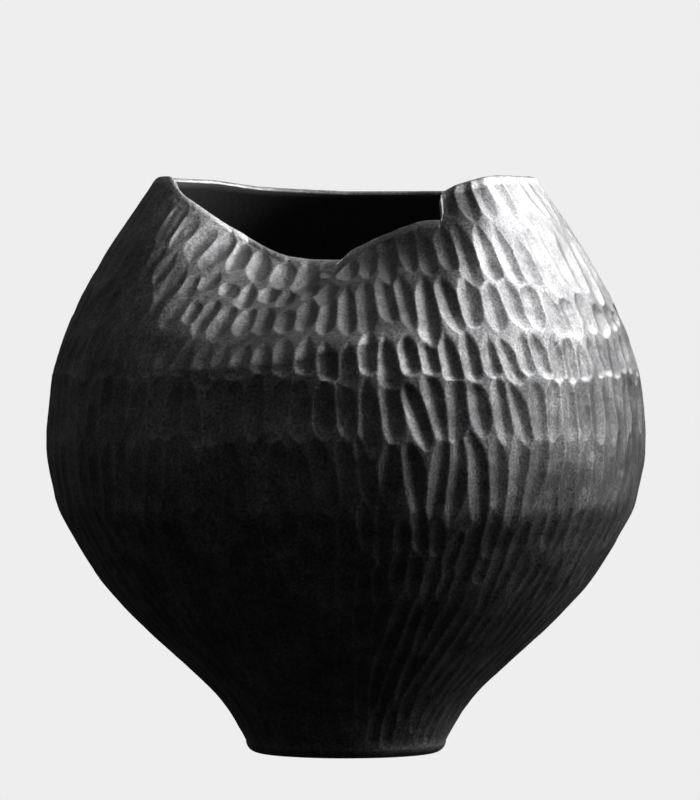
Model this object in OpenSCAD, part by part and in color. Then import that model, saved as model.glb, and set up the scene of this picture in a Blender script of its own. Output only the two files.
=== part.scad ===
// Hand-built black clay pot: a round carved vessel whose front wall is pressed in under a dipped rim.
// The pot stands on z = 0 with its axis on Z. The dipped front of the rim faces -Y.
// Azimuths are in degrees round the axis: 0 at the front, growing towards +X.

/* [Size] */
// Height from the foot to the peaks of the rim
pot_height = 287.5; // [240:0.5:330]
// Widest diameter, over the ridges of the belly
belly_diameter = 300; // [260:1:340]
// Diameter of the flat face that the pot stands on
foot_diameter = 88; // [76:1:94]

/* [Wall] */
// Thickness of the wall in the belly
wall_thickness = 6; // [4:0.5:8]
// Thickness of the wall just under the lip
lip_thickness = 4.5; // [3:0.5:5.5]
// Thickness of the floor
floor_thickness = 9; // [6:0.5:12]
// How much lower a joint between two courses is inside the wall than outside
joint_bevel = 3; // [0:0.5:4]

/* [Rim and fold] */
// How far the front of the rim dips below its peaks
rim_dip = 41.5; // [30:0.5:44]
// How far the front wall is pressed in above the dip
fold_depth = 78; // [60:1:90]

/* [Hidden] */

$fn = 120;
clay_black = [0.11, 0.11, 0.12];
clay_grey = [0.20, 0.20, 0.22];
belly_radius = belly_diameter / 2;
foot_radius = foot_diameter / 2;

// Rounded corner between the flat foot and the side of the base pad
corner_radius = 6;
corner_steps = 6;
foot_part = (foot_radius + corner_radius) / belly_radius;

// Outer radius of the body: [part of the height, part of the belly radius]
profile = [
    [0.02, foot_part], [0.09, 0.418], [0.16, 0.555], [0.23, 0.70], [0.30, 0.82], [0.37, 0.905], [0.44, 0.97],
    [0.54, 1], [0.65, 0.982], [0.72, 0.943], [0.79, 0.885], [0.86, 0.81], [0.93, 0.723], [1, 0.63]
];

// Flat joints between the round courses, from the top of the base pad upward, as parts of the height
flat_joints = [floor_thickness / pot_height, 0.112, 0.186, 0.282, 0.36, 0.432, 0.55, 0.655];
round_courses = len(flat_joints) - 1;

// Joints of the folded courses: [part of the height round the back, bumps at the front], where a bump is
// [part of the height, azimuth, width before it, width after it]
wavy_joints = [
    [0.741, [[-0.017, -14, 14, 14], [-0.012, 60, 25, 40]]],
    [0.814, [[0.028, 22, 25, 25], [-0.049, -17, 13, 13], [-0.035, 75, 25, 40]]],
    [0.911, [[-0.099, -12, 24, 14]]]
];

// Drop of the rim below its peaks: [azimuth, part of rim_dip]
rim_drop = [
    [-180, 0.14], [-154, 0.09], [-130, 0.01], [-100, 0], [-72, 0], [-46, 0.28], [-25, 0.68], [-11, 0.97],
    [-4, 1], [1, 0.84], [9, 0.68], [19, 0.54], [23.8, 0.53], [26.2, 0.2], [39, 0.06], [55, 0],
    [100, 0], [150, 0.14], [180, 0.14]
];

// Azimuths between which the rim steps up on the right of the dip
step_from = 23.8;
step_to = 26.2;

// Azimuths of the fold's left ridge and of its valley, which leans to the left on its way down:
// [part of the height, azimuth]
left_ridge = [[0.67, -44], [0.755, -46], [0.812, -52], [0.873, -58], [1, -72]];
valley = [[0.67, -32], [0.72, -20], [0.77, -16], [0.812, -10], [0.856, -4], [1, -4]];

// How far past the left ridge the fold starts, in degrees
ridge_reach = 6;

// Azimuth where the fold dies out on the right: [part of the height, azimuth], and how fast it does
fold_end = [[0.67, -20], [0.71, 0], [0.75, 22], [0.85, 32], [1, 46]];
fold_fade = 1.5;

// Heights between which the fold deepens, and how gently it starts
fold_foot = 0.675 * pot_height;
fold_full = 0.885 * pot_height;
fold_start = 1.1;

// Drop of the lip's rounded outer side and of its inner edge, parts of the wall between which it is level,
// and the depth below it over which the wall thickens
lip_round = 4;
lip_edge = 2;
lip_parts = [0.35, 0.8];
lip_taper = 60;

// Spacing of the points round the folded courses, of the rows up each, and of the points up the round ones
column_step = 4;
step_columns = 3;
rows = 3;
profile_step = 4;

// Short height and turn over which the slopes of the wall are measured
slope_step = 1;
turn_step = 2;

// ---- Curves ----

// Number of the span of a list of [x, value] points that holds x
function span_of(points, x, i = 0) =
    (i >= len(points) - 2 || x < points[i + 1][0]) ? i : span_of(points, x, i + 1);

// Steepness of span i
function steepness(points, i) =
    (points[i + 1][1] - points[i][1]) / (points[i + 1][0] - points[i][0]);

// Slope at point i that keeps the curve between its points, as the harmonic mean of its two spans
function slope_at(points, i) =
    let (before = steepness(points, max(i - 1, 0)), after = steepness(points, min(i, len(points) - 2)))
    before * after <= 0 ? 0 : 2 * before * after / (before + after);

// Value at x of the smooth curve through the points, held level beyond both ends
function smooth_value(points, x) =
    let (
        i = span_of(points, x),
        width = points[i + 1][0] - points[i][0],
        t = min(max((x - points[i][0]) / width, 0), 1),
        low = points[i][1],
        high = points[i + 1][1]
    )
    (2 * t^3 - 3 * t^2 + 1) * low + (3 * t^2 - 2 * t^3) * high
        + (t^3 - 2 * t^2 + t) * width * slope_at(points, i)
        + (t^3 - t^2) * width * slope_at(points, i + 1);

// 0 below the first value, 1 above the second, straight between them
function ramp(from, to, x) = min(max((x - from) / (to - from), 0), 1);

// A bump of height 1 at an azimuth, with its own width on each side
function bump(a, centre, left_width, right_width) =
    let (width = a < centre ? left_width : right_width) exp(-((a - centre) / width)^2 / 2);

// 0 below the first value, 1 above the second, with a smooth rise between them
function ease(from, to, x) = let (t = ramp(from, to, x)) t * t * (3 - 2 * t);

// ---- Form of the pot ----

function radius_at(z) = belly_radius * smooth_value(profile, z / pot_height);

// Depth of the fold across a level, from 1 in its valley to 0 beyond both sides
function across_fold(a, z) =
    let (
        middle = smooth_value(valley, z / pot_height),
        start = smooth_value(left_ridge, z / pot_height) - ridge_reach,
        end = smooth_value(fold_end, z / pot_height)
    )
    a <= middle ? ease(start, middle, a) : (1 - ramp(middle, end, a))^fold_fade;

// How far the wall is pressed in, along +Y
function press(a, z) = fold_depth * ramp(fold_foot, fold_full, z)^fold_start * across_fold(a, z);

// A point of the outer surface
function point_at(a, z) =
    let (r = radius_at(z)) [r * sin(a), press(a, z) - r * cos(a), z];

// Direction straight out of the wall along the level
function outward(a, z) =
    let (along = point_at(a + turn_step, z) - point_at(a - turn_step, z))
    [along[1], -along[0], 0] / norm(along);

function rim_height(a) = pot_height - rim_dip * smooth_value(rim_drop, a);

// Width of the wall along the level, wider where the wall leans so that its true thickness stays even
function wall_width(a, z) =
    let (
        change = point_at(a, z + slope_step) - point_at(a, z - slope_step),
        lean = change * outward(a, z) / (2 * slope_step),
        thickness = lip_thickness + (wall_thickness - lip_thickness) * ramp(0, lip_taper, rim_height(a) - z)
    )
    thickness * sqrt(1 + lean^2);

// A point part of the way through the wall, from 0 on the outer surface to 1 on the inner one
function point_in_wall(a, z, part) = point_at(a, z) - part * wall_width(a, z) * outward(a, z);

function sum_of(values) = values * [for (value = values) 1];

// Height round the pot of the joint on top of folded course k, or of the rim
function joint_height(k, a) =
    k == 0 ? flat_joints[round_courses] * pot_height
    : k > len(wavy_joints) ? rim_height(a)
    : let (
        joint = wavy_joints[k - 1],
        waves = [for (wave = joint[1]) wave[0] * bump(a, wave[1], wave[2], wave[3])]
    )
    pot_height * (joint[0] + sum_of(waves));

// ---- Round courses ----

// Height of the joint on the inside of the wall
function inner_joint(i) = flat_joints[i] * pot_height - ((i == 0 || i == round_courses) ? 0 : joint_bevel);

// Evenly spaced heights, the last one included
function heights(from, to) =
    let (count = max(2, ceil(abs(to - from) / profile_step)))
    [for (i = [0:count]) from + (to - from) * i / count];

module round_course(i) {
    outer_levels = heights(flat_joints[i - 1] * pot_height, flat_joints[i] * pot_height);
    inner_levels = heights(inner_joint(i), inner_joint(i - 1));
    outer = [for (z = outer_levels) [radius_at(z), z]];
    inner = [for (z = inner_levels) [radius_at(z) - wall_width(180, z), z]];
    rotate_extrude()
        polygon(concat(outer, inner));
}

// ---- Folded courses ----

// Azimuths of the columns of points, evenly spaced but for the ones on the step in the rim
columns = concat(
    [for (a = [-180:column_step:step_from - 1]) a],
    [for (i = [0:step_columns]) step_from + (step_to - step_from) * i / step_columns],
    [for (a = [step_to + column_step / 2:column_step:180 - column_step / 2]) a]
);

// Cross-section of course k at an azimuth: up the outside, over the top and down the inside
function section(k, a, is_rim) =
    let (
        bottom = joint_height(k - 1, a),
        top = joint_height(k, a),
        inner_bottom = bottom - (k == 1 ? 0 : joint_bevel),
        outer_top = top - (is_rim ? lip_round : 0),
        inner_top = top - (is_rim ? lip_edge : joint_bevel)
    )
    concat(
        [for (i = [0:rows]) let (z = bottom + (outer_top - bottom) * i / rows) point_at(a, z)],
        is_rim ? [for (part = lip_parts) point_in_wall(a, outer_top, part) + [0, 0, lip_round]] : [],
        [for (i = [rows:-1:0]) let (z = inner_bottom + (inner_top - inner_bottom) * i / rows)
            point_in_wall(a, z, 1)]
    );

// Two triangles between neighbouring columns. The bottom joint is split the other way, to match the
// top of the course under it.
function quad(a, b, c, d, flip) = flip ? [[a, b, d], [b, c, d]] : [[a, b, c], [a, c, d]];

module folded_course(k, is_rim = false) {
    points = [for (a = columns) each section(k, a, is_rim)];
    count = len(columns);
    loop = len(points) / count;
    faces = [for (i = [0:count - 1], j = [0:loop - 1])
        let (next_i = (i + 1) % count, next_j = (j + 1) % loop)
        each quad(i * loop + j, i * loop + next_j, next_i * loop + next_j, next_i * loop + j, next_j != 0)];
    polyhedron(points, faces);
}

// ---- Sub-parts ----

// Flat slab of the floor, with a rounded outer corner
module base_pad() {
    top = flat_joints[0] * pot_height;
    corner_centre = [radius_at(corner_radius) - corner_radius, corner_radius];
    outline = concat(
        [[0, 0], [foot_radius, 0]],
        [for (i = [1:corner_steps]) let (turn = 90 * i / corner_steps)
            corner_centre + corner_radius * [sin(turn), -cos(turn)]],
        [[radius_at(top), top], [0, top]]
    );
    color(clay_grey)
        rotate_extrude()
            polygon(outline);
}

// Ring of clay, the number counting upward from the base pad
module wall_course(number) {
    color(number % 2 == 0 ? clay_grey : clay_black) {
        if (number <= round_courses) round_course(number);
        if (number > round_courses) folded_course(number - round_courses);
    }
}

// Top ring with the lip, the dip and the two peaks
module rim_course() {
    color(clay_black)
        folded_course(4, is_rim = true);
}

base_pad();
wall_course(1);  // wall_course_01
wall_course(2);  // wall_course_02
wall_course(3);  // wall_course_03
wall_course(4);  // wall_course_04
wall_course(5);  // wall_course_05
wall_course(6);  // wall_course_06
wall_course(7);  // wall_course_07
wall_course(8);  // wall_course_08
wall_course(9);  // wall_course_09
wall_course(10);  // wall_course_10
rim_course();
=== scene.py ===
"""Carved black clay pot: the visible clay courses, their material and the studio round them.

Azimuths are in degrees round the pot's axis, 0 at the front (-Y) and growing towards +X.
Lengths are in metres. Course 0 is the base pad, and the rim course is the last.
"""
import math
from types import SimpleNamespace

import bmesh
import bpy
import numpy as np
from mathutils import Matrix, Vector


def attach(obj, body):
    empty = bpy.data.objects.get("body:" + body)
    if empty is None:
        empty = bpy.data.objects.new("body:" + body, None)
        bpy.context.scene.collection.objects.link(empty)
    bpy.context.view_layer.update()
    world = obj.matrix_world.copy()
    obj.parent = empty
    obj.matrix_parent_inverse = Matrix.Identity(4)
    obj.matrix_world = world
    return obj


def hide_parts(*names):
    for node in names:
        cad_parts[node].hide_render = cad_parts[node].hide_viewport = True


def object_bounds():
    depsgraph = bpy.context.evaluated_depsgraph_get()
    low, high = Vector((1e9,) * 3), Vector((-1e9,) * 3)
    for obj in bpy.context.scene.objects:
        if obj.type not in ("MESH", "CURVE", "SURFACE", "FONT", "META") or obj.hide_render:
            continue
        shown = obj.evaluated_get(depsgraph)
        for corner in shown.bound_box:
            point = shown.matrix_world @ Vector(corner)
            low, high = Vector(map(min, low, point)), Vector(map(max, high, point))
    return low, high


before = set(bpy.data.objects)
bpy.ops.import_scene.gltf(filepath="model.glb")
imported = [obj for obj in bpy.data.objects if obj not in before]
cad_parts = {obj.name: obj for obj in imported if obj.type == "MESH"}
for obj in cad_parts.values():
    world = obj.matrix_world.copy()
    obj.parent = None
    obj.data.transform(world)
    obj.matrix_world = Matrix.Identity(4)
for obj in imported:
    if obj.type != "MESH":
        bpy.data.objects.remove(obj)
cad_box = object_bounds()

MM = 0.001
HEIGHT = cad_box[1].z - cad_box[0].z
BELLY_RADIUS = (cad_box[1].x - cad_box[0].x) / 2
WALL_COURSES = 10
COURSES = ["base_pad"] + [f"wall_course_{i:02d}" for i in range(1, WALL_COURSES + 1)] + ["rim_course"]
RIM = len(COURSES) - 1

# ---- Form of the pot, as in the CAD ----

WALL_THICKNESS = 6 * MM
JOINT_BEVEL = 3 * MM
CORNER_RADIUS = 6 * MM
RIM_DIP = 41.5 * MM
FOLD_DEPTH = 78 * MM

# The wall thins towards the lip over LIP_TAPER. The lip rounds up by LIP_ROUND to its crest, which lies
# LIP_CREST of the way through the wall, and its inner edge is LIP_EDGE below the crest.
LIP_THICKNESS = 4.5 * MM
LIP_TAPER = 60 * MM
LIP_ROUND = 4 * MM
LIP_CREST = 0.8
LIP_EDGE = 2 * MM

# Outer radius: [part of the height, part of the belly radius]
PROFILE = [
    [0.02, 0.3333], [0.09, 0.418], [0.16, 0.555], [0.23, 0.70], [0.30, 0.82], [0.37, 0.905], [0.44, 0.97],
    [0.54, 1], [0.65, 0.982], [0.72, 0.943], [0.79, 0.885], [0.86, 0.81], [0.93, 0.723], [1, 0.63],
]
# Drop of the rim below its peaks: [azimuth, part of the dip]
RIM_DROP = [
    [-180, 0.14], [-154, 0.09], [-130, 0.01], [-100, 0], [-72, 0], [-46, 0.28], [-25, 0.68], [-11, 0.97],
    [-4, 1], [1, 0.84], [9, 0.68], [19, 0.54], [23.8, 0.53], [26.2, 0.2], [39, 0.06], [55, 0],
    [100, 0], [150, 0.14], [180, 0.14],
]
# Azimuths of the fold's left ridge, its valley and its right end: [part of the height, azimuth]
LEFT_RIDGE = [[0.67, -44], [0.755, -46], [0.812, -52], [0.873, -58], [1, -72]]
VALLEY = [[0.67, -32], [0.72, -20], [0.77, -16], [0.812, -10], [0.856, -4], [1, -4]]
FOLD_END = [[0.67, -20], [0.71, 0], [0.75, 22], [0.85, 32], [1, 46]]
# Parts of the height where the fold begins and where it has its full depth
FOLD_FOOT, FOLD_FULL = 0.675, 0.885
# How far left of the ridge the fold begins, and the powers of its fade to the right and its growth upward
RIDGE_REACH = 6
FOLD_FADE = 1.5
FOLD_START = 1.1
# Steps in height and in azimuth over which slopes are taken
SLOPE_STEP = 1 * MM
TURN_STEP = 2

# Joints on top of the base pad and of the round courses, as parts of the height
FLAT_JOINTS = [0.0313, 0.112, 0.186, 0.282, 0.36, 0.432, 0.55, 0.655]
LAST_ROUND = len(FLAT_JOINTS) - 1
# Joints on top of the folded courses: [part of the height, waves], and each wave as
# [its rise, the azimuth of its middle, its width to the left, its width to the right]
WAVY_JOINTS = [
    [0.741, [[-0.017, -14, 14, 14], [-0.012, 60, 25, 40]]],
    [0.814, [[0.028, 22, 25, 25], [-0.049, -17, 13, 13], [-0.035, 75, 25, 40]]],
    [0.911, [[-0.099, -12, 24, 14]]],
]


def smooth_value(points, x):
    """Value at x of the smooth curve through the points, which never passes beyond them."""
    xs, ys = np.array(points, float).T
    steep = np.diff(ys) / np.diff(xs)
    before = np.append(steep[0], steep)
    after = np.append(steep, steep[-1])
    same_way = before * after > 0
    slopes = np.where(same_way, 2 * before * after / np.where(same_way, before + after, 1), 0)
    i = np.clip(np.searchsorted(xs, x, side="right") - 1, 0, len(xs) - 2)
    width = xs[i + 1] - xs[i]
    t = np.clip((x - xs[i]) / width, 0, 1)
    rise = t * t * (3 - 2 * t)
    leaving = t * (1 - t) ** 2 * width * slopes[i]
    arriving = t * t * (t - 1) * width * slopes[i + 1]
    return ys[i] + (ys[i + 1] - ys[i]) * rise + leaving + arriving


def ramp(start, end, x):
    """0 below the start, 1 above the end, with a straight rise between them."""
    return np.clip((x - start) / (end - start), 0, 1)


def ease(start, end, x):
    """0 below the start, 1 above the end, with a smooth rise between them."""
    t = ramp(start, end, x)
    return t * t * (3 - 2 * t)


def bump(a, centre, left_width, right_width):
    """1 at the centre, fading smoothly to 0 on both sides."""
    return np.exp(-((a - centre) / np.where(a < centre, left_width, right_width)) ** 2 / 2)


def radius_at(z):
    return BELLY_RADIUS * smooth_value(PROFILE, z / HEIGHT)


def press(a, z):
    """How far the fold presses the wall in, along +Y."""
    part = z / HEIGHT
    middle = smooth_value(VALLEY, part)
    ridge = smooth_value(LEFT_RIDGE, part)
    left = ease(ridge - RIDGE_REACH, middle, a)
    right = (1 - ramp(middle, smooth_value(FOLD_END, part), a)) ** FOLD_FADE
    across = np.where(a <= middle, left, right)
    return FOLD_DEPTH * ramp(FOLD_FOOT, FOLD_FULL, part) ** FOLD_START * across


def points_at(a, z):
    """Points of the outer surface."""
    r = radius_at(z)
    turn = np.radians(a)
    return np.stack([r * np.sin(turn), press(a, z) - r * np.cos(turn), z + 0 * turn], axis=-1)


def normals_at(a, z):
    """Outward directions of the uncarved surface, even across its sharp ridges."""
    along = points_at(a + TURN_STEP, z) - points_at(a - TURN_STEP, z)
    up = points_at(a, z + SLOPE_STEP) - points_at(a, z - SLOPE_STEP)
    out = np.cross(along, up)
    return out / np.linalg.norm(out, axis=-1, keepdims=True)


def rim_height(a):
    return HEIGHT - RIM_DIP * smooth_value(RIM_DROP, a)


def outward(a, z):
    """Directions straight out of the wall along the level."""
    along = points_at(a + TURN_STEP, z) - points_at(a - TURN_STEP, z)
    out = np.stack([along[..., 1], -along[..., 0], 0 * along[..., 0]], axis=-1)
    return out / np.linalg.norm(out, axis=-1, keepdims=True)


def points_in_wall(a, z, part):
    """Points part of the way through the wall, from 0 on its outer surface to 1 on its inner one."""
    out = outward(a, z)
    change = points_at(a, z + SLOPE_STEP) - points_at(a, z - SLOPE_STEP)
    slope = (change * out).sum(axis=-1) / (2 * SLOPE_STEP)
    thickness = LIP_THICKNESS + (WALL_THICKNESS - LIP_THICKNESS) * ramp(0, LIP_TAPER, rim_height(a) - z)
    width = thickness * np.sqrt(1 + slope**2)
    return points_at(a, z) - part * width[..., None] * out


def joint_height(k, a):
    """Height round the pot of the joint on top of course k, of the foot below course 0, or of the rim."""
    if k < 0:
        return 0 * a
    if k <= LAST_ROUND:
        return FLAT_JOINTS[k] * HEIGHT + 0 * a
    if k == RIM:
        return rim_height(a)
    level, waves = WAVY_JOINTS[k - LAST_ROUND - 1]
    return HEIGHT * (level + sum(rise * bump(a, *place) for rise, *place in waves))


# ---- Carving ----

# One row of gouges on each course, from the foot upward, and none on the base pad:
# [gouges round the pot, depth in mm, how far they run past the row in mm, squareness of their ends, skew]
# With a negative skew the gouges are deepest near their lower ends.
GOUGES = [
    [0, 0, 0, 0, 0],
    [50, 1.0, 2, 3, 0], [64, 1.1, 2, 3, 0], [84, 1.1, 2, 3, 0], [96, 1.2, 2, 3, 0], [96, 1.4, 2, 3, 0],
    [84, 1.8, 4, 3, 0.1], [84, 2.2, 1, 3, 0], [88, 2.4, -0.4, 4, -0.35], [68, 2.6, -0.8, 3, 0],
    [64, 2.75, -0.6, 4, -0.35], [50, 2.6, -1, 2.5, 0.1],
]
# The rows up to this one, on the lower bowl, are the most uneven
LOW_ROWS = 5
ROUNDNESS = 1.5
SHORTEST = 4 * MM

# How much the gouges of a row differ: place and width in parts of the distance between two of them, depth in
# parts of the full depth, and twist in degrees for each mm of height. LONG_SHARE of them run further down.
SHIFT = 0.12
HALF_WIDTHS = [0.50, 0.58]
SCATTER = 2.5 * MM
LOW_SCATTER = 9 * MM
LONG_SHARE = 0.25
LONG_ENDS = [2 * MM, 8 * MM]
DEPTHS = [0.85, 1.15]
TWIST = 0.08
SKEW = 0.15
GOUGE_SEED = 100

# Waves of the lines between the rows
WAVE = 4 * MM
LOW_WAVE = 10 * MM
WAVES_AROUND = 40
WAVE_SEED = 50

# Azimuths are in degrees and heights in parts of the pot's height. Three values are the middle of a bump and
# its widths to the left and right, or down and up. Two values are where a rise begins and ends.

# The gouges have their full depth in front, and SHALLOW of it at the sides and behind
DEEP_FRONT = [8, 24, 18]
SHALLOW = 0.55

# On the left flank of the fold they are shallower and uneven, and lean to the right, in degrees for each mm
FLANK = [-38, 22, 18]
FLANK_HEIGHTS = [0.62, 0.75]
FLANK_FADE = 0.35
FLANK_LEAN = 0.25
WOBBLE = 0.35

# On the belly, right of the fold, they lean a little to the left
LEANING_BELLY = [20, 16, 25]
BELLY_HEIGHTS = [0.68, 0.1, 0.1]
BELLY_LEAN = 0.07

# The upper rows are drawn together round the fold, by this many degrees, and spaced out again on the right
CROWDING = 16
CROWDED = [-50, 32]
LOOSENED = [35, 175]

# Beside the dip the row under the rim reaches higher, and its gouges widen upward, between pointed ridges
SPIKES = [14, 9, 8]
SPIKE_HEIGHT = 7 * MM
TAPERED = [22, 20, 12]
TAPER = 0.6
TAPER_START = 0.3

# The rim's gouges end below the lip, run out over it on the right side, and are left out beside the dip
RIM_MARGIN = 3.0 * MM
RUN_OUT = 11.0 * MM
RUN_OUT_FROM = [26, 32]
RUN_OUT_TO = [100, 130]
BARE_RIM = [14, 9, 9]

# Near the rim the left ridge of the fold is nearly smooth
RIDGE_FADE = 0.8
RIDGE_SHIFT = 5
RIDGE_WIDTHS = [5, 4]
RIDGE_HEIGHTS = [0.92, 0.97]

# The groove over the thin crest is deepest at GROOVE_BOTTOM of the way up
CREST = [6, 18, 12]
GROOVE = 1.2 * MM
GROOVE_HEIGHT = 9 * MM
GROOVE_BOTTOM = 0.35

# Unevenness of the whole surface
SKIN = 0.25 * MM
LUMPS = 0.2 * MM


def noise(a, z, cells_around, cell_height, seed):
    """Smooth random values from 0 to 1, the same at both ends of the circle."""
    cells_up = int(HEIGHT / cell_height) + 2
    lattice = np.random.default_rng(seed).random((cells_up, cells_around))
    u = (a / 360) % 1 * cells_around
    v = z / cell_height
    i, j = v.astype(int), u.astype(int)
    s, t = v - i, u - j
    s, t = s * s * (3 - 2 * s), t * t * (3 - 2 * t)
    j, j_next = j % cells_around, (j + 1) % cells_around
    low = lattice[i, j] * (1 - t) + lattice[i, j_next] * t
    high = lattice[i + 1, j] * (1 - t) + lattice[i + 1, j_next] * t
    return low * (1 - s) + high * s


def row_top(k, a):
    """Wavy line over the row of gouges on course k, which rises to spikes beside the dip."""
    line = joint_height(k, a)
    if k < RIM:
        wave = LOW_WAVE if k <= LOW_ROWS else WAVE
        line = line + (noise(a, 0 * a, WAVES_AROUND, HEIGHT, WAVE_SEED + k) - 0.5) * wave
    if k == RIM - 1:
        line = line + SPIKE_HEIGHT * bump(a, *SPIKES)
    return line


def on_flank(a, z):
    """1 on the left flank of the fold, fading to 0 round it."""
    return bump(a, *FLANK) * ease(*FLANK_HEIGHTS, z / HEIGHT)


def lean(a, z):
    """Lean of the gouges, in degrees of azimuth for each mm of height."""
    on_belly = bump(a, *LEANING_BELLY) * bump(z / HEIGHT, *BELLY_HEIGHTS)
    return FLANK_LEAN * on_flank(a, z) - BELLY_LEAN * on_belly


def crowd(k, a):
    """How far the gouges of the upper rows are drawn together round the fold, in degrees."""
    return CROWDING * (ease(*CROWDED, a) - ease(*LOOSENED, a)) * (k >= RIM - 2)


def gouge_row(k):
    """The gouges of the row on course k, each a little different from the next."""
    count, depth, past, squareness, row_skew = GOUGES[k]
    random = np.random.default_rng(GOUGE_SEED + k)
    pitch = 360 / count
    scatter = LOW_SCATTER if k <= LOW_ROWS else SCATTER
    row = SimpleNamespace(count=count, pitch=pitch, past=past * MM, squareness=squareness)
    row.shift = random.uniform(-SHIFT, SHIFT, count) * pitch
    row.half_width = random.uniform(*HALF_WIDTHS, count) * pitch
    row.high = random.uniform(-1, 1, count) * scatter
    row.low = random.uniform(-1, 1, count) * scatter
    is_long = random.random(count) < LONG_SHARE
    row.low -= is_long * random.uniform(*LONG_ENDS, count)
    row.deep = depth * random.uniform(*DEPTHS, count) * MM
    row.twist = random.uniform(-TWIST, TWIST, count)
    row.skew = row_skew + random.uniform(-SKEW, SKEW, count)
    place = (np.arange(count) * pitch + 180) % 360 - 180
    row.taper = TAPER * bump(place, *TAPERED) * (k == RIM - 1)
    return row


def row_ends(k, a, past):
    """Heights of the upper and lower ends of the row on course k, which run past its lines."""
    top, bottom = row_top(k, a) + past, row_top(k - 1, a) - past
    if k == RIM:
        runs_out = ease(*RUN_OUT_FROM, a) * (1 - ease(*RUN_OUT_TO, a))
        top = top - RIM_MARGIN + (RUN_OUT + RIM_MARGIN) * runs_out
    return top, bottom


def strength(k, a, z):
    """Part of the full depth that the gouges of course k have: most in front, least on the left ridge."""
    front = SHALLOW + (1 - SHALLOW) * bump(a, *DEEP_FRONT)
    ridge = smooth_value(LEFT_RIDGE, z / HEIGHT) - RIDGE_SHIFT
    on_ridge = bump(a, ridge, *RIDGE_WIDTHS) * ease(*RIDGE_HEIGHTS, z / HEIGHT)
    bare = bump(a, *BARE_RIM) * (k == RIM)
    return (1 - bare) * front * (1 - RIDGE_FADE * on_ridge) * (1 - FLANK_FADE * on_flank(a, z))


def gouge_cut(k, a, z):
    """Depth of the gouges of course k at each point."""
    row = gouge_row(k)
    top, bottom = row_ends(k, a, row.past)
    middle = (top + bottom) / 2
    unrest = noise(a, z, cells_around=110, cell_height=9 * MM, seed=9) - 0.5
    wobble = WOBBLE * row.pitch * on_flank(a, z) * unrest
    straight = a + crowd(k, a) + wobble - lean(a, z) * (z - middle) / MM
    nearest = np.floor(straight / row.pitch).astype(int)
    cut = np.zeros(np.shape(a))
    for step in (-1, 0, 1, 2):
        j = (nearest + step) % row.count
        centre = (nearest + step) * row.pitch + row.shift[j] + row.twist[j] * (z - middle) / MM
        start, end = top + row.high[j], bottom + row.low[j]
        along = (2 * z - start - end) / np.maximum(start - end, SHORTEST)
        along = along - row.skew[j] * np.maximum(1 - along**2, 0)
        half_width = row.half_width[j] * (1 + row.taper[j] * (along + TAPER_START))
        across = (straight - centre) / half_width
        scoop = 1 - np.abs(across) ** ROUNDNESS - np.abs(along) ** row.squareness
        cut = np.maximum(cut, row.deep[j] * scoop)
    return cut * strength(k, a, z)


def groove_cut(a, z):
    """Depth of the shallow hollow over the thin crest that runs from the dip to the step."""
    up = (z - joint_height(RIM - 2, a)) / GROOVE_HEIGHT
    return GROOVE * bump(a, *CREST) * ramp(0, GROOVE_BOTTOM, up) * (1 - ease(GROOVE_BOTTOM, 1, up))


def carving(k, a, z):
    """How far the carved surface of course k lies inside the uncarved one."""
    rows = [row for row in (k - 1, k, k + 1) if 1 <= row <= RIM]
    cut = np.max([gouge_cut(row, a, z) for row in rows] + [groove_cut(a, z)], axis=0)
    skin = SKIN * noise(a, z, cells_around=60, cell_height=20 * MM, seed=7)
    lumps = LUMPS * noise(a, z, cells_around=220, cell_height=4 * MM, seed=8)
    return cut + skin + lumps


# ---- Meshes ----

COLUMNS = 1200
ROW_HEIGHT = 1.0 * MM
INNER_ROWS = 8
LIP_ROWS = 8
CORNER_ROWS = 8
FLOOR_RINGS = 7
SAME_PLACE = 0.001 * MM
# Painted highlight and polish of the lip, painted highlight and wear of the sharpest ridges, and the bend
# from one point to the next that makes one sharp
LIP_POLISH_AND_PAINTED_HIGHLIGHT = 0.5
RIDGE_WEAR_AND_PAINTED_HIGHLIGHT = 0.15
RIDGE_BEND = 0.12 * MM


def carved(k, a, z):
    """Points of the outer surface with the carving cut into it."""
    return points_at(a, z) - normals_at(a, z) * carving(k, a, z)[..., None]


def ridge_values(depths):
    """How sharply each point of a grid of carving depths stands out, from 0 to
    RIDGE_WEAR_AND_PAINTED_HIGHLIGHT. It brightens the clay's colour there, partly as wear and partly as a
    painted highlight.
    """
    inward = np.pad(depths, ((1, 1), (0, 0)), mode="edge")
    beside = np.roll(depths, 1, axis=1) + np.roll(depths, -1, axis=1) - 2 * depths
    above = inward[:-2] + inward[2:] - 2 * depths
    return RIDGE_WEAR_AND_PAINTED_HIGHLIGHT * np.clip(np.maximum(beside, above) / RIDGE_BEND, 0, 1)


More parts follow.
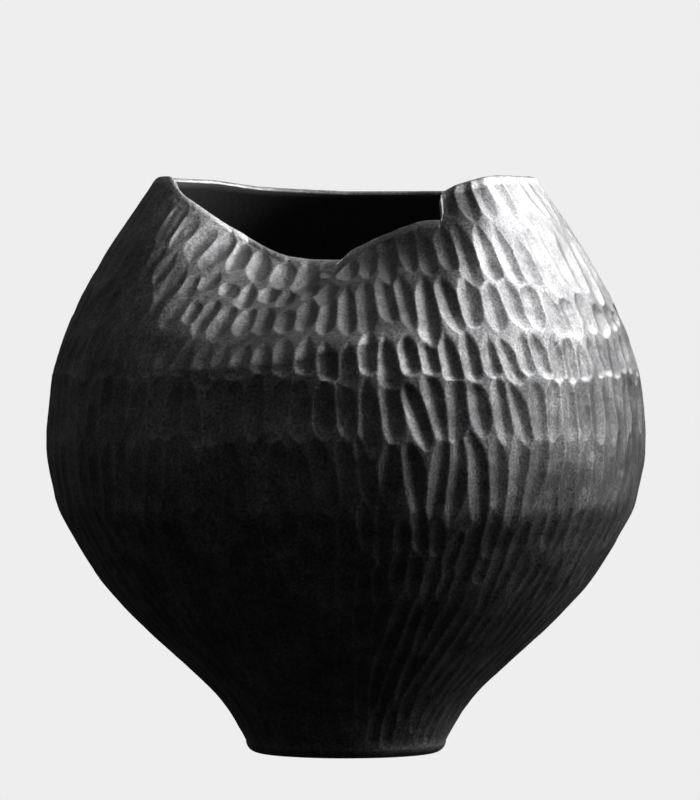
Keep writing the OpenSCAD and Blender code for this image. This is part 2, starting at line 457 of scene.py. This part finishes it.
def mesh_from_grid(name, grid, sharp_rows, inside_rows, ridges=None):
    """Closed ring mesh from points[row][column]: sharp along sharp_rows, raw clay from inside_rows on."""
    rows, columns = grid.shape[:2]
    index = np.arange(rows * columns).reshape(rows, columns)
    next_row = np.roll(index, -1, axis=0)
    next_column = np.roll(index, -1, axis=1)
    corner = np.roll(next_row, -1, axis=1)
    faces = np.stack([index, next_column, corner, next_row], axis=-1).reshape(-1, 4)
    mesh = bpy.data.meshes.new(name)
    mesh.from_pydata(grid.reshape(-1, 3), [], faces.tolist())
    mesh.shade_smooth()
    edges = np.empty(len(mesh.edges) * 2, int)
    mesh.edges.foreach_get("vertices", edges)
    edge_rows = edges.reshape(-1, 2) // columns
    sharp = (edge_rows[:, 0] == edge_rows[:, 1]) & np.isin(edge_rows[:, 0], sharp_rows)
    mesh.attributes.new("sharp_edge", "BOOLEAN", "EDGE").data.foreach_set("value", sharp)
    face_rows = np.arange(len(faces)) // columns
    mesh.polygons.foreach_set("material_index", (face_rows >= inside_rows).astype(np.int32))
    ridge = np.zeros((rows, columns))
    if ridges is not None:
        ridge[:len(ridges)] = ridges
        # The lip rows get the lip's polish and painted highlight
        ridge[len(ridges):inside_rows] = LIP_POLISH_AND_PAINTED_HIGHLIGHT
    mesh.attributes.new("ridge", "FLOAT", "POINT").data.foreach_set("value", ridge.ravel())
    return mesh


def lip_points(a, z, edge):
    """Rows of points over the rounded lip, from the carved edge at height z to its inner side."""
    rows = []
    for t in np.linspace(0, 1, LIP_ROWS + 1)[1:]:
        across = LIP_CREST * t
        point = points_in_wall(a, z, across)
        point += (edge - points_at(a, z)) * (1 - across)
        rows.append(point + [0, 0, LIP_ROUND * (1 - (1 - t) ** 2)])
    return rows


def course_piece(k, a):
    """Carved ring of clay between two joints, or between a joint and the rim."""
    bottom, top = joint_height(k - 1, a), joint_height(k, a)
    flat_bottom = k - 1 in (0, LAST_ROUND)
    flat_top = k == LAST_ROUND
    inner_bottom = bottom - (0 if flat_bottom else JOINT_BEVEL)
    outer_top = top - (LIP_ROUND if k == RIM else 0)
    inner_top = top - (LIP_EDGE if k == RIM else 0 if flat_top else JOINT_BEVEL)
    count = int(np.ceil(np.max(top - bottom) / ROW_HEIGHT))
    heights = [bottom + (outer_top - bottom) * t for t in np.linspace(0, 1, count + 1)]
    outer = [carved(k, a, z) for z in heights]
    ridges = ridge_values(np.array([carving(k, a, z) for z in heights]))
    lip = lip_points(a, outer_top, outer[-1]) if k == RIM else []
    inner = []
    for t in np.linspace(1, 0, INNER_ROWS + 1):
        z = inner_bottom + (inner_top - inner_bottom) * t
        inner.append(points_in_wall(a, z, 1))
    grid = np.array(outer + lip + inner)
    last = len(grid) - 1
    sharp = [0, last] if k == RIM else [0, count, count + 1, last]
    return mesh_from_grid(COURSES[k] + "_clay", grid, sharp, len(outer + lip), ridges)


def join_centres(mesh):
    """Merge the points that meet on the pot's axis into one point for each side of the slab."""
    shape = bmesh.new()
    shape.from_mesh(mesh)
    bmesh.ops.remove_doubles(shape, verts=shape.verts, dist=SAME_PLACE)
    loose = [edge for edge in shape.edges if not edge.link_faces]
    bmesh.ops.delete(shape, geom=loose, context="EDGES")
    shape.to_mesh(mesh)
    shape.free()


def base_piece(a):
    """Floor slab with a rounded outer corner, down to the flat foot."""
    top = joint_height(0, a)
    corner_centre = radius_at(CORNER_RADIUS) - CORNER_RADIUS
    turn = np.radians(a)

    def ring(r, z):
        return np.stack([r * np.sin(turn), -r * np.cos(turn), z + 0 * turn], axis=-1)

    rings = [ring(r, 0) for r in np.linspace(0, corner_centre, FLOOR_RINGS)]
    for angle in np.linspace(0, math.pi / 2, CORNER_ROWS + 1)[1:]:
        out = corner_centre + CORNER_RADIUS * math.sin(angle)
        rings.append(ring(out, CORNER_RADIUS * (1 - math.cos(angle))))
    top_edge = len(rings)
    rings.append(carved(0, a, top))
    inner_edge = points_in_wall(a, top, 1)
    for t in np.linspace(0, 1, FLOOR_RINGS):
        rings.append(inner_edge * (1 - t) + ring(0, top) * t)
    mesh = mesh_from_grid(COURSES[0] + "_clay", np.array(rings), [top_edge, top_edge + 1], top_edge)
    join_centres(mesh)
    return mesh


# ---- Clay ----

GRAPHITE = [(0.115, 0.115, 0.118, 1), (0.25, 0.25, 0.253, 1)]
# Colours of the inside, darker than the clay's own tone as painted shade of the pot's inside
INSIDE_WITH_PAINTED_SHADE = [(0.04, 0.04, 0.041, 1), (0.08, 0.08, 0.082, 1)]
DENT_HEIGHT = 0.4 * MM


def new_material(name):
    """New material, its node tree and the inputs of its shader."""
    material = bpy.data.materials.new(name)
    material.use_nodes = True
    return material, material.node_tree, material.node_tree.nodes["Principled BSDF"].inputs


def pattern(tree, scale, detail, roughness):
    """Noise that is fixed to the clay, around 0.5."""
    place = tree.nodes.new("ShaderNodeTexCoord")
    texture = tree.nodes.new("ShaderNodeTexNoise")
    texture.inputs["Scale"].default_value = scale
    texture.inputs["Detail"].default_value = detail
    texture.inputs["Roughness"].default_value = roughness
    tree.links.new(place.outputs["Object"], texture.inputs["Vector"])
    return texture.outputs["Fac"]


def spread(tree, value, low, high, start=0.35, end=0.65):
    """Carry the stretch from start to end over to low and high."""
    change = tree.nodes.new("ShaderNodeMapRange")
    change.inputs["From Min"].default_value = start
    change.inputs["From Max"].default_value = end
    change.inputs["To Min"].default_value = low
    change.inputs["To Max"].default_value = high
    tree.links.new(value, change.inputs["Value"])
    return change.outputs["Result"]


def combine(tree, operation, first, second):
    """Result of a sum or a product of two values."""
    result = tree.nodes.new("ShaderNodeMath")
    result.operation = operation
    tree.links.new(first, result.inputs[0])
    tree.links.new(second, result.inputs[1])
    return result.outputs["Value"]


def tint(tree, value, colours, start=0, end=1):
    """Colour that goes from the first to the second as the value goes from start to end."""
    change = tree.nodes.new("ShaderNodeValToRGB")
    for stop, colour, position in zip(change.color_ramp.elements, colours, [start, end], strict=True):
        stop.position = position
        stop.color = colour
    tree.links.new(value, change.inputs["Fac"])
    return change.outputs["Color"]


def scaled(tree, colour, factor):
    """Colour made lighter or darker by a factor."""
    product = tree.nodes.new("ShaderNodeVectorMath")
    product.operation = "SCALE"
    tree.links.new(colour, product.inputs[0])
    tree.links.new(factor, product.inputs["Scale"])
    return product.outputs["Vector"]


def dented(tree, value, strength):
    """Surface direction with small dents in it."""
    dent = tree.nodes.new("ShaderNodeBump")
    dent.inputs["Strength"].default_value = strength
    dent.inputs["Distance"].default_value = DENT_HEIGHT
    tree.links.new(value, dent.inputs["Height"])
    return dent.outputs["Normal"]


def black_clay():
    """Burnished black clay with a graphite sheen, a fine sparkling grain, and ridges and lip brightened
    partly by wear and polish and partly as a painted highlight.
    """
    material, tree, inputs = new_material("burnished_clay")
    link = tree.links.new
    inputs["Metallic"].default_value = 0.85
    inputs["Coat Weight"].default_value = 0.15
    inputs["Coat Roughness"].default_value = 0.3

    grain = pattern(tree, scale=700, detail=4, roughness=0.8)
    patches = pattern(tree, scale=55, detail=4, roughness=0.6)
    ridges = tree.nodes.new("ShaderNodeAttribute")
    ridges.attribute_name = "ridge"
    ridge = ridges.outputs["Fac"]

    sparkle = spread(tree, grain, low=0.4, high=1.6)
    # Brighter colour on the sharp ridges and the lip: partly wear and polish, partly a painted highlight
    wear_and_painted_highlight = spread(tree, ridge, low=1, high=3, start=0, end=1)
    graphite = tint(tree, patches, GRAPHITE, start=0.35, end=0.7)
    link(scaled(tree, graphite, combine(tree, "MULTIPLY", sparkle, wear_and_painted_highlight)), inputs["Base Color"])

    rough = spread(tree, grain, low=0.40, high=0.52)
    polish = spread(tree, ridge, low=0, high=-0.1, start=0, end=1)
    link(combine(tree, "ADD", rough, polish), inputs["Roughness"])
    link(dented(tree, grain, strength=0.8), inputs["Normal"])
    return material


def raw_clay_with_painted_shade():
    """Unburnished clay of the inside: dull, and its dark colour partly painted shade of the pot's inside."""
    material, tree, inputs = new_material("raw_clay_with_painted_shade")
    grain = pattern(tree, scale=500, detail=3, roughness=0.7)
    inputs["Specular IOR Level"].default_value = 0.2
    inputs["Roughness"].default_value = 0.9
    tree.links.new(tint(tree, grain, INSIDE_WITH_PAINTED_SHADE), inputs["Base Color"])
    tree.links.new(dented(tree, grain, strength=0.4), inputs["Normal"])
    return material


# ---- Studio ----

BACKGROUND = 0.855
DOME_RADIUS = 9
FLOOR_CORNERS = 64
CAMERA_DISTANCE = 3.0
CAMERA_HEIGHT = 0.24
VIEW_HEIGHT = 0.4
AIM = (0.002, 0, 0.176)
SENSOR = 36
LIGHT_DISTANCE = 2.0
LIGHT_AIM = (0, 0, 0.17)
LIGHT_SIZE = 0.7
GROUND_GLOW = 0.01
SKY_GLOW = 0.1


def look_at(thing, target):
    """Turn a camera or a light so that it points at the target."""
    direction = np.subtract(target, thing.location)
    flat = math.hypot(direction[0], direction[1])
    tilt = math.pi / 2 + math.atan2(direction[2], flat)
    heading = math.atan2(-direction[0], direction[1])
    thing.rotation_euler = (tilt, 0, heading)


def add_camera():
    """Camera in front of the pot and a little above its middle, with a narrow view."""
    camera = bpy.data.objects.new("camera", bpy.data.cameras.new("camera"))
    camera.data.sensor_width = SENSOR
    camera.data.lens = SENSOR * CAMERA_DISTANCE / VIEW_HEIGHT
    camera.location = (AIM[0], -CAMERA_DISTANCE, CAMERA_HEIGHT)
    look_at(camera, AIM)
    bpy.context.collection.objects.link(camera)
    bpy.context.scene.camera = camera


def add_light(name, azimuth, elevation, power):
    """Soft round light that points at the pot."""
    light = bpy.data.lights.new(name, "AREA")
    light.shape = "DISK"
    light.size = LIGHT_SIZE
    light.energy = power
    thing = bpy.data.objects.new(name, light)
    turn, rise = math.radians(azimuth), math.radians(elevation)
    out = LIGHT_DISTANCE * math.cos(rise)
    height = LIGHT_AIM[2] + LIGHT_DISTANCE * math.sin(rise)
    thing.location = (out * math.sin(turn), -out * math.cos(turn), height)
    look_at(thing, LIGHT_AIM)
    bpy.context.collection.objects.link(thing)


def add_sky():
    """Dim even light from above that fades out towards the horizon."""
    world = bpy.data.worlds.new("studio")
    world.use_nodes = True
    tree = world.node_tree
    place = tree.nodes.new("ShaderNodeTexCoord")
    direction = tree.nodes.new("ShaderNodeSeparateXYZ")
    tree.links.new(place.outputs["Generated"], direction.inputs["Vector"])
    glow = spread(tree, direction.outputs["Z"], GROUND_GLOW, SKY_GLOW, start=-0.4, end=0.8)
    tree.links.new(glow, tree.nodes["Background"].inputs["Strength"])
    tree.nodes["Background"].inputs["Color"].default_value = (1, 1, 1, 1)
    bpy.context.scene.world = world


def pale_paint():
    """Evenly lit pale paint of the floor and the backdrop."""
    material, _, inputs = new_material("pale_paint")
    inputs["Base Color"].default_value = (0, 0, 0, 1)
    inputs["Specular IOR Level"].default_value = 0
    inputs["Emission Color"].default_value = (1, 1, 1, 1)
    inputs["Emission Strength"].default_value = BACKGROUND
    return material


def add_stage():
    """Pale floor and a pale dome all round, which don't light the pot or shade it."""
    bpy.ops.mesh.primitive_circle_add(radius=DOME_RADIUS, vertices=FLOOR_CORNERS, fill_type="NGON")
    floor = bpy.context.object
    bpy.ops.mesh.primitive_uv_sphere_add(radius=DOME_RADIUS)
    dome = bpy.context.object
    paint = pale_paint()
    for name, thing in {"floor": floor, "backdrop": dome}.items():
        thing.name = name
        thing.data.materials.append(paint)
        thing.visible_diffuse = False
        thing.visible_glossy = False
        thing.visible_shadow = False


def build():
    """The pieces of the pot, each in place of its CAD node."""
    a = np.linspace(-180, 180, COLUMNS, endpoint=False)
    clays = [black_clay(), raw_clay_with_painted_shade()]
    meshes = [base_piece(a)] + [course_piece(k, a) for k in range(1, RIM + 1)]
    for name, mesh in zip(COURSES, meshes, strict=True):
        for clay in clays:
            mesh.materials.append(clay)
        piece = bpy.data.objects.new(mesh.name, mesh)
        bpy.context.collection.objects.link(piece)
        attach(piece, "root")
        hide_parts(name)


build()
add_camera()
add_light("key", azimuth=94, elevation=35, power=32)
add_light("shoulder", azimuth=130, elevation=35, power=26)
add_light("low", azimuth=90, elevation=5, power=10)
add_light("top", azimuth=80, elevation=60, power=7)
add_light("back", azimuth=170, elevation=50, power=2)
add_sky()
add_stage()
bpy.context.scene.view_settings.view_transform = "Standard"
